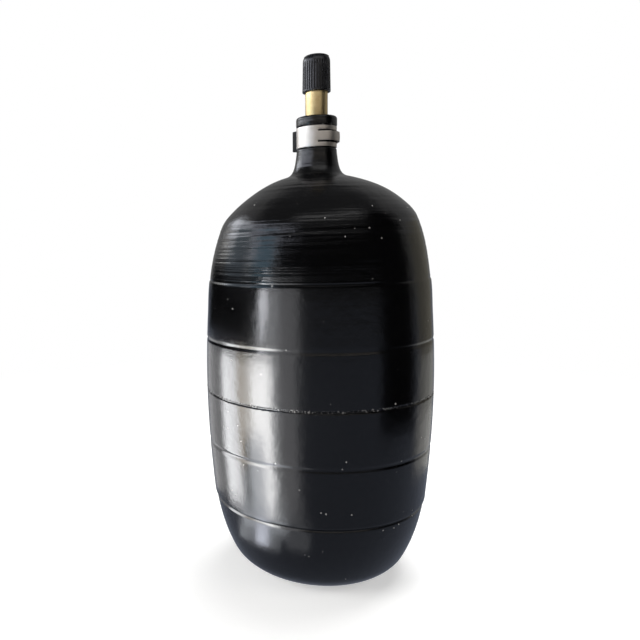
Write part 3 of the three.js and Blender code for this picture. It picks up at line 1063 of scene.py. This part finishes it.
class ScrewCap(Piece):
    """The cap: ribbed wall, plain rim, rounded top with its gate mark, and threaded bore."""

    name = "screw_cap"
    body = Body.CAP
    nodes = ("valve_cap",)
    finish = CAP

    def __init__(self, size: CapSize, thread: ThreadSize) -> None:
        """Takes its sizes and its thread."""
        self.size = size
        self.thread = thread

    def outline(self) -> Outline:
        """Gives the outline from the bore's ceiling down, round the rim and up over the top."""
        s = self.size
        top = s.mouth + s.length
        ceiling = top - s.roof
        edge = top - s.crown
        rows = np.arange(ceiling - s.fillet, s.mouth + 0.4, -0.16)
        bore = np.stack([np.full_like(rows, s.bore), rows], axis=1)
        flare = bezier([(s.bore, s.mouth + 0.35), (s.bore, s.mouth), (s.bore + 0.2, s.mouth)], 4)
        lip = bezier([(s.radius - 0.25, s.mouth), (s.radius, s.mouth), (s.radius, s.mouth + 0.25)], 4)
        wall = heights(s.mouth + 0.3, edge - s.corner - 0.05, 0.9,
                       [(s.mouth + s.rim, 0.35, 0.08)])
        side = np.stack([np.full_like(wall, s.radius), wall], axis=1)
        bend = bezier([(s.radius, edge - s.corner), (s.radius, edge), (s.radius - s.corner, edge)], 12)
        over = bezier([(s.radius - s.corner, edge), ((s.radius - s.corner) / 2, top), (0.0, top)], 10)
        roof = [(0.0, ceiling), (s.bore - s.fillet, ceiling)]
        return np.concatenate([roof, bore, flare, lip, side, bend, over[1:]])

    def shift(self, angle: Array, radius: Array, height: Array) -> Array:
        """Gives the radial shift by ribs outside and by the thread inside, in mm."""
        s = self.size
        top = s.mouth + s.length
        phase = (angle * s.flutes / (2 * math.pi)) % 1.0
        groove = 1 - smooth(np.abs(phase - 0.5), 0.16, 0.34)
        span = smooth(height, s.mouth + s.rim - 0.12, s.mouth + s.rim + 0.12)
        span = span * (1 - smooth(height, top - s.flute_drop - 0.9, top - s.flute_drop + 0.5))
        above = height - s.mouth
        drawn = s.taper * smooth(above, s.rim, s.rim + 0.6) * above / s.length
        outside = np.where(radius > s.bore + 0.3, -s.flute_depth * groove * span - drawn, 0.0)
        cut = self.thread.shift(angle, height, s.mouth + 1.0, top - s.roof - 1.6)
        inside = np.where(np.abs(radius - s.bore) < 0.01, -0.7 * cut, 0.0)
        return outside + inside

    def build(self) -> bpy.types.Object:
        """Makes the cap with the small gate mark on its top."""
        s = self.size
        draft = Draft()
        draft.lathe(self.outline(), s.flutes * s.per_flute, shift=self.shift)
        top = s.mouth + s.length
        base = np.array([(0.0, top - 0.1)])
        mark = bezier([(s.gate, top - 0.1), (s.gate, top + 0.06), (s.gate - 0.25, top + 0.05)], 4)
        well = np.array([(s.gate - 0.35, top - 0.02), (0.25, top - 0.02), (0.15, top + 0.08),
                         (0.0, top + 0.1)])
        draft.lathe(np.concatenate([base, mark, well]), 40)
        return draft.build(self.name, 38.0)


@dataclass
class SpringSize:
    """Sizes of the pin's return spring, in mm."""

    radius: float = 0.95
    wire: float = 0.14
    low: float = 164.98
    high: float = 170.18
    seat: float = 164.95
    turns: float = 7.0
    dead_turns: float = 0.9
    press: float = 1.5
    per_turn: int = 24
    sides: int = 10


class PinSpring(Piece):
    """The return spring: a coil of round wire with closed ends, which shortens as the pin goes down."""

    name = "pin_spring"
    body = Body.PLUG
    nodes = ("core_spring",)
    finish = SPRING

    def __init__(self, size: SpringSize) -> None:
        """Takes its sizes."""
        self.size = size

    def build(self) -> bpy.types.Object:
        """Makes the coil."""
        s = self.size
        turn = np.linspace(0, s.turns, int(s.turns * s.per_turn) + 1)
        share = np.clip((turn - s.dead_turns) / (s.turns - 2 * s.dead_turns), 0, 1)
        closed = 2.05 * s.wire
        start = s.low + s.wire + closed * np.minimum(turn, s.dead_turns)
        end = closed * np.maximum(turn - s.turns + s.dead_turns, 0)
        free = s.high - s.low - 2 * s.wire - 2 * closed * s.dead_turns
        level = start + end + free * share
        angle = 2 * math.pi * turn[:, None]
        around = np.linspace(0, 2 * math.pi, s.sides, endpoint=False)[None, :]
        reach = s.radius + s.wire * np.cos(around)
        points = turned(angle, reach, level[:, None] + s.wire * np.sin(around))
        draft = Draft()
        draft.grid(points, Side.IN)
        for row, side in ((0, Side.OUT), (-1, Side.IN)):
            centre = np.repeat(points[row].mean(axis=0)[None, :], s.sides, axis=0)
            draft.grid(np.stack([centre, points[row]]), side)
        return draft.build(self.name, 60.0)

    def dress(self, piece: bpy.types.Object) -> None:
        """Dresses the coil and gives it a mesh of its own."""
        super().dress(piece)
        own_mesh(piece)


class FrameNodes:
    """The small pieces that keep their CAD solids and only get a finish."""

    finishes: dict[str, Finish] = {
        "core_plug": BRASS,
        "core_barrel": BRASS,
        "core_pin": BRASS,
        "core_cup": BRASS,
        "core_gasket": GASKET,
        "core_seal": SEAL,
        "cap_seal": SEAL,
    }

    def dress(self) -> None:
        """Gives each solid its finish, smooth shading and its slot."""
        for node, finish in self.finishes.items():
            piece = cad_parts[node]
            piece.data.materials.clear()
            piece.data.materials.append(finish.material())
            piece.data.shade_smooth()
            piece.data.set_sharp_from_angle(angle=math.radians(35))
            LOG.info("%s: CAD solid in %s", node, finish.slot.value)


@dataclass(frozen=True)
class Card:
    """A curved studio card round the object, seen only in reflections.

    Attributes:
        name: Its name.
        start: Angle of its left edge from the front, in degrees, positive to the right.
        end: Angle of its right edge.
        low: Radius and height of its lower edge, in mm.
        high: Radius and height of its upper edge.
        glow: Its radiance, where 1 is white.
        colour: Its tint.
    """

    name: str
    start: float
    end: float
    low: tuple[float, float]
    high: tuple[float, float]
    glow: float
    colour: Colour = (1.0, 1.0, 1.0)

    def build(self) -> bpy.types.Object:
        """Makes the card and hides it from the camera and from diffuse light."""
        angle = np.radians(np.linspace(self.start, self.end, 13))[None, :]
        radius, level = (np.array(pair)[:, None] for pair in zip(self.low, self.high))
        draft = Draft()
        draft.grid(turned(angle, radius, level), Side.IN, closed=False)
        card = draft.build(self.name)
        made = bpy.data.materials.new(self.name)
        made.use_nodes = True
        graph = Graph(made.node_tree)
        light = graph.node("ShaderNodeEmission", Color=(*self.colour, 1.0), Strength=self.glow)
        graph.node("ShaderNodeOutputMaterial", Surface=light.outputs[0])
        card.data.materials.append(made)
        card.visible_camera = False
        card.visible_diffuse = False
        card.visible_shadow = False
        card.visible_transmission = False
        return card


@dataclass(frozen=True)
class Lamp:
    """A soft area lamp aimed at the plug's middle.

    Attributes:
        name: Its name.
        azimuth: Angle from the front in degrees, positive to the right.
        elevation: Angle above the floor in degrees.
        distance: Its distance in metres.
        size: Length of its sides in metres.
        power: Its power in watts.
        colour: Its tint.
    """

    name: str
    azimuth: float
    elevation: float
    distance: float
    size: float
    power: float
    colour: Colour = (1.0, 1.0, 1.0)

    def build(self) -> bpy.types.Object:
        """Makes the lamp and hides it from reflections."""
        data = bpy.data.lights.new(self.name, "AREA")
        data.shape = "SQUARE"
        data.size = self.size
        data.energy = self.power
        data.color = self.colour
        lamp = bpy.data.objects.new(self.name, data)
        bpy.context.scene.collection.objects.link(lamp)
        aim = Vector((0, 0, 0.08))
        around, rise = math.radians(self.azimuth), math.radians(self.elevation)
        level = math.cos(rise)
        direction = Vector((math.sin(around) * level, -math.cos(around) * level, math.sin(rise)))
        lamp.location = aim + direction * self.distance
        lamp.rotation_euler = direction.to_track_quat("Z", "Y").to_euler()
        lamp.visible_glossy = False
        return lamp


@dataclass
class Studio:
    """Floor, backdrop, surroundings, cards and lamps.

    Attributes:
        floor_size: Side of the floor in metres.
        backdrop_radius: Radius of the backdrop behind the object in metres.
        backdrop_height: Its height in metres.
        cards: Cards that the glossy surfaces show.
        lamps: Lamps that light the object.
    """

    floor_size: float = 6.0
    backdrop_radius: float = 2.4
    backdrop_height: float = 3.0
    cards: Sequence[Card] = (
        Card("window_strip", -41.0, -33.5, (82, 0.5), (82, 77.5), 21.0),
        Card("window_main", -51.0, -41.0, (82, 38.0), (82, 77.5), 19.0),
        Card("window_below", -56.0, -41.0, (82, 0.5), (82, 38.0), 8.5, (0.92, 0.96, 1.0)),
        Card("window_middle", -60.0, -51.0, (82, 38.0), (82, 77.0), 8.0, (1.0, 0.97, 0.9)),
        Card("window_divider", -64.5, -60.0, (82, 22.0), (82, 77.0), 4.0, (1.0, 0.8, 0.55)),
        Card("window_far", -86.0, -64.5, (82, 0.5), (82, 76.0), 10.5, (0.97, 0.98, 1.0)),
        Card("window_back", -125.0, -86.0, (84, 0.5), (84, 76.0), 1.0, (0.98, 0.98, 1.0)),
        Card("window_fade", -33.5, -29.0, (82, 0.5), (82, 112.0), 4.0, (0.92, 0.96, 1.0)),
        Card("window_tail", -29.0, -13.0, (82, 0.5), (82, 112.0), 1.7, (0.95, 0.96, 1.0)),
        Card("floor_glow", -70.0, -24.0, (58, 0.4), (81, 0.4), 4.6, (0.88, 0.93, 1.0)),
        Card("floor_spot", -52.0, -40.0, (46, 0.5), (76, 0.5), 9.0, (0.84, 0.88, 1.0)),
        Card("floor_near", -74.0, -30.0, (45, 0.4), (58, 0.4), 2.0, (0.88, 0.93, 1.0)),
        Card("floor_side", -24.0, -6.0, (48, 0.4), (81, 0.4), 1.0, (0.88, 0.92, 1.0)),
        Card("sill_bright", -45.5, -41.5, (100, 84), (100, 112), 24.0, (0.93, 0.95, 1.0)),
        Card("sill_dim", -41.5, -36.5, (100, 84), (100, 112), 2.6, (0.95, 0.95, 1.0)),
        Card("flag_left", -125.0, -46.0, (99, 80), (99, 117), 0.0),
        Card("pane_near", -59.0, -39.0, (100, 120), (100, 163), 1.7, (0.5, 0.78, 1.0)),
        Card("pane_far", -94.0, -65.0, (100, 118), (100, 163), 0.8, (0.7, 0.85, 1.0)),
        Card("flag_front", -36.0, 51.0, (100, 114), (100, 161), 0.0),
        Card("ledge_light", -30.0, 60.0, (100, 212), (100, 300), 1.0),
        Card("clamp_far", -130.0, -84.0, (400, 190), (400, 223), 2.2, (1.0, 0.99, 0.96)),
        Card("clamp_side", -84.0, -45.0, (400, 190), (400, 223), 3.4, (1.0, 0.99, 0.96)),
        Card("lip_side", -112.0, -61.0, (400, 223), (400, 233), 15.0, (0.86, 0.91, 1.0)),
        Card("stem_far", -120.0, -70.0, (400, 232), (400, 256), 1.0),
        Card("stem_side", -70.0, -37.0, (400, 232), (400, 256), 1.8),
        Card("cap_side", -129.0, -92.0, (400, 256), (400, 380), 5.2, (0.9, 0.93, 1.0)),
        Card("cap_front", -92.0, -24.0, (400, 256), (400, 380), 3.2, (0.84, 0.87, 1.0)),
        Card("valve_front", -30.0, 57.0, (400, 196), (400, 256), 1.15, (1.0, 0.92, 0.84)),
        Card("flag_right", 51.0, 88.0, (100, 34), (100, 230), 0.0),
        Card("back_low", 98.0, 135.0, (120, 0.5), (120, 34), 0.8, (1.0, 0.99, 0.95)),
        Card("back_right", 98.0, 135.0, (120, 34), (120, 66), 0.55, (1.0, 0.99, 0.93)),
        Card("back_high", 98.0, 135.0, (120, 66), (120, 150), 0.26, (1.0, 0.94, 0.78)),
    )
    lamps: Sequence[Lamp] = (
        Lamp("overhead", 150.0, 68.0, 1.3, 0.9, 17.0),
        Lamp("left_soft", -60.0, 22.0, 0.9, 0.5, 6.0, (1.0, 0.99, 0.97)),
        Lamp("right_soft", 70.0, 30.0, 1.2, 0.6, 3.0, (1.0, 0.97, 0.93)),
    )

    def paper(self, name: str, lit: float, mirrored: float, fade: tuple[float, float],
              tint: Colour = (1.0, 1.0, 1.0)) -> bpy.types.Material:
        """Makes paper that the camera sees as near white near the object and as white far from it.

        Args:
            name: Name of the material.
            lit: Radiance added for camera rays near the object, so that shadows still show.
            mirrored: Radiance that reflections see, where 1 is white.
            fade: Distances from the object, in metres, between which shading fades to white.
            tint: Colour of what reflections see.

        Returns:
            The material.
        """
        made = bpy.data.materials.new(name)
        made.use_nodes = True
        graph = Graph(made.node_tree)
        rays = graph.node("ShaderNodeLightPath").outputs
        far = graph.node("ShaderNodeVectorMath", {"operation": "LENGTH"}, i0=graph.place()).outputs["Value"]
        white = graph.times(graph.ramp(far, *fade), rays["Is Camera Ray"])
        diffuse = graph.node("ShaderNodeBsdfDiffuse", Color=(0.8, 0.8, 0.8, 1.0)).outputs[0]
        lift = graph.node("ShaderNodeEmission", Strength=graph.times(rays["Is Camera Ray"], lit)).outputs[0]
        near = graph.node("ShaderNodeAddShader", i0=diffuse, i1=lift).outputs[0]
        plain = graph.node("ShaderNodeEmission", Strength=1.0).outputs[0]
        seen = graph.node("ShaderNodeMixShader", Fac=white, i1=near, i2=plain).outputs[0]
        image = graph.node("ShaderNodeEmission", Color=(*tint, 1.0), Strength=mirrored).outputs[0]
        mixed = graph.node("ShaderNodeMixShader", Fac=rays["Is Glossy Ray"], i1=seen, i2=image).outputs[0]
        graph.node("ShaderNodeOutputMaterial", Surface=mixed)
        return made

    def floor(self) -> bpy.types.Object:
        """Makes the pale floor."""
        bpy.ops.mesh.primitive_plane_add(size=self.floor_size, location=(0, 0, -0.0002))
        floor = bpy.context.object
        floor.name = "floor"
        floor.data.materials.append(self.paper("floor_paper", 0.45, 0.3, (0.1, 0.42), (0.72, 0.8, 1.0)))
        return floor

    def backdrop(self) -> bpy.types.Object:
        """Makes the curved backdrop behind the object."""
        angle = np.radians(np.linspace(100, 260, 33))[None, :]
        level = np.array([0.0, self.backdrop_height / MM])[:, None]
        draft = Draft()
        draft.grid(turned(angle, self.backdrop_radius / MM, level), Side.IN, closed=False)
        backdrop = draft.build("backdrop")
        backdrop.data.materials.append(self.paper("backdrop_paper", 0.45, 0.28, (0.1, 0.42)))
        return backdrop

    def surroundings(self) -> None:
        """Makes the world: white to the camera, dim grey to everything else."""
        world = bpy.data.worlds.new("surroundings")
        bpy.context.scene.world = world
        world.use_nodes = True
        graph = Graph(world.node_tree)
        rays = graph.node("ShaderNodeLightPath").outputs
        dim = graph.node("ShaderNodeBackground", Color=(0.96, 0.98, 1.0, 1.0), Strength=0.09).outputs[0]
        white = graph.node("ShaderNodeBackground", Color=(1, 1, 1, 1), Strength=1.0).outputs[0]
        mixed = graph.node("ShaderNodeMixShader", Fac=rays["Is Camera Ray"], i1=dim, i2=white).outputs[0]
        graph.node("ShaderNodeOutputWorld", Surface=mixed)

    def build(self) -> None:
        """Sets up the whole studio."""
        self.floor()
        self.backdrop()
        self.surroundings()
        for part in (*self.cards, *self.lamps):
            part.build()


@dataclass
class Viewpoint:
    """The photograph's camera.

    Attributes:
        place: Its position in metres.
        yaw: Turn to the left of straight ahead, in degrees.
        pitch: Tilt down, in degrees.
        roll: Turn about the view, in degrees.
        focal: Focal length in pixels of a square frame.
        frame_width: Width of that frame in pixels.
        centre: Where the view's axis meets the frame, in pixels.
    """

    place: tuple[float, float, float] = (0.0, -0.2386, 0.1203)
    yaw: float = 11.104
    pitch: float = 7.063
    roll: float = 1.47
    focal: float = 649.83
    frame_width: float = 640.0
    centre: tuple[float, float] = (190.28, 319.98)

    def build(self) -> bpy.types.Object:
        """Makes the camera."""
        yaw, pitch, roll = (math.radians(v) for v in (self.yaw, self.pitch, self.roll))
        ahead = Vector((-math.sin(yaw) * math.cos(pitch), math.cos(yaw) * math.cos(pitch), -math.sin(pitch)))
        level = Vector((math.cos(yaw), math.sin(yaw), 0.0))
        down = ahead.cross(level)
        right = math.cos(roll) * level + math.sin(roll) * down
        under = -math.sin(roll) * level + math.cos(roll) * down
        data = bpy.data.cameras.new("camera")
        data.sensor_width = 36.0
        data.lens = self.focal / self.frame_width * data.sensor_width
        data.shift_x = (self.frame_width / 2 - self.centre[0]) / self.frame_width
        data.shift_y = (self.centre[1] - self.frame_width / 2) / self.frame_width
        data.clip_start = 0.01
        camera = bpy.data.objects.new("camera", data)
        bpy.context.scene.collection.objects.link(camera)
        turn = Matrix((right, -under, -ahead)).transposed().to_4x4()
        camera.matrix_world = Matrix.Translation(self.place) @ turn
        bpy.context.scene.camera = camera
        return camera


def main() -> None:
    """Builds the plug and its studio, in order."""
    bpy.context.scene.view_settings.view_transform = "Standard"
    thread = ThreadSize()
    Bag(BagSize()).make()
    EarClamp(ClampSize()).make()
    ValveStem(StemSize(), thread).make()
    ScrewCap(CapSize(), thread).make()
    PinSpring(SpringSize()).make()
    FrameNodes().dress()
    Studio().build()
    Viewpoint().build()


if __name__ == "__main__":
    main()
